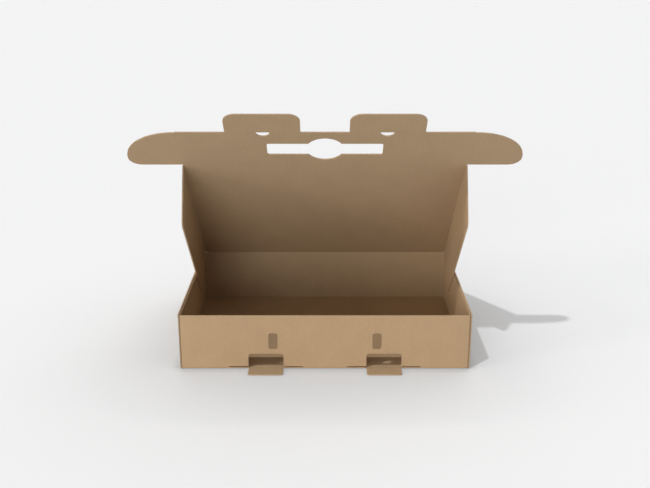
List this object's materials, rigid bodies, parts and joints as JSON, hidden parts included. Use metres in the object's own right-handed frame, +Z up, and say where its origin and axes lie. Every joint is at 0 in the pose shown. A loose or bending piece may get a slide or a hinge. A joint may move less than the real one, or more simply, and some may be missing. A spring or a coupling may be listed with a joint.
{
  "type": "flip top carton",
  "caption": "Kraft corrugated carton with a hinged flip top lid, tuck ears, lock tabs, a hand slot and handle windows, standing open.",
  "frame": {"origin": "middle of the underside of the tray's floor", "axes": "+X to the right seen from the front, +Y to the hinge at the back, +Z up"},
  "size_m": [0.441, 0.2392, 0.2929],
  "materials": {
    "kraft_board": "matte"
  },
  "bodies": {
    "tray": {"tray": "kraft_board"},
    "lid_panel": {"lid_panel": "kraft_board"},
    "side_flap_left": {"side_flap_left": "kraft_board"},
    "side_flap_right": {"side_flap_right": "kraft_board"},
    "front_flap": {"front_flap": "kraft_board"},
    "ear_left": {"ear_left": "kraft_board"},
    "ear_right": {"ear_right": "kraft_board"},
    "lock_tab_left": {"lock_tab_left": "kraft_board"},
    "lock_tab_right": {"lock_tab_right": "kraft_board"},
    "catch_tab_left": {"catch_tab_left": "kraft_board"},
    "catch_tab_right": {"catch_tab_right": "kraft_board"}
  },
  "joints": [
    {"name": "lid_hinge", "type": "hinge", "parent": "tray", "child": "lid_panel", "pos_m": [0, 0.1103, 0.0663], "axis": [-1, 0, 0], "range_deg": [-45.3, 134.7]},
    {"name": "front_flap_fold", "type": "hinge", "parent": "lid_panel", "child": "front_flap", "pos_m": [0, -0.04599, 0.22424], "axis": [1, 0, 0], "range_deg": [0, 90]},
    {"name": "side_flap_left_fold", "type": "hinge", "parent": "lid_panel", "child": "side_flap_left", "pos_m": [-0.16055, 0.03229, 0.14386], "axis": [0, -0.7034, 0.7108], "range_deg": [0, 85]},
    {"name": "side_flap_right_fold", "type": "hinge", "parent": "lid_panel", "child": "side_flap_right", "pos_m": [0.16055, 0.03229, 0.14386], "axis": [0, 0.7034, -0.7108], "range_deg": [0, 85]},
    {"name": "ear_left_fold", "type": "hinge", "parent": "front_flap", "child": "ear_left", "pos_m": [-0.16285, -0.06759, 0.24606], "axis": [0, -0.7034, 0.7108], "range_deg": [0, 90]},
    {"name": "ear_right_fold", "type": "hinge", "parent": "front_flap", "child": "ear_right", "pos_m": [0.16285, -0.06759, 0.24606], "axis": [0, 0.7034, -0.7108], "range_deg": [0, 90]},
    {"name": "lock_tab_left_fold", "type": "hinge", "parent": "front_flap", "child": "lock_tab_left", "pos_m": [-0.0671, -0.09094, 0.26966], "axis": [1, 0, 0], "range_deg": [0, 90]},
    {"name": "lock_tab_right_fold", "type": "hinge", "parent": "front_flap", "child": "lock_tab_right", "pos_m": [0.0671, -0.09094, 0.26966], "axis": [1, 0, 0], "range_deg": [0, 90]},
    {"name": "catch_tab_left_fold", "type": "hinge", "parent": "tray", "child": "catch_tab_left", "pos_m": [-0.0671, -0.1103, 0.0007], "axis": [-1, 0, 0], "range_deg": [0, 90]},
    {"name": "catch_tab_right_fold", "type": "hinge", "parent": "tray", "child": "catch_tab_right", "pos_m": [0.0671, -0.1103, 0.0007], "axis": [-1, 0, 0], "range_deg": [0, 90]}
  ]
}
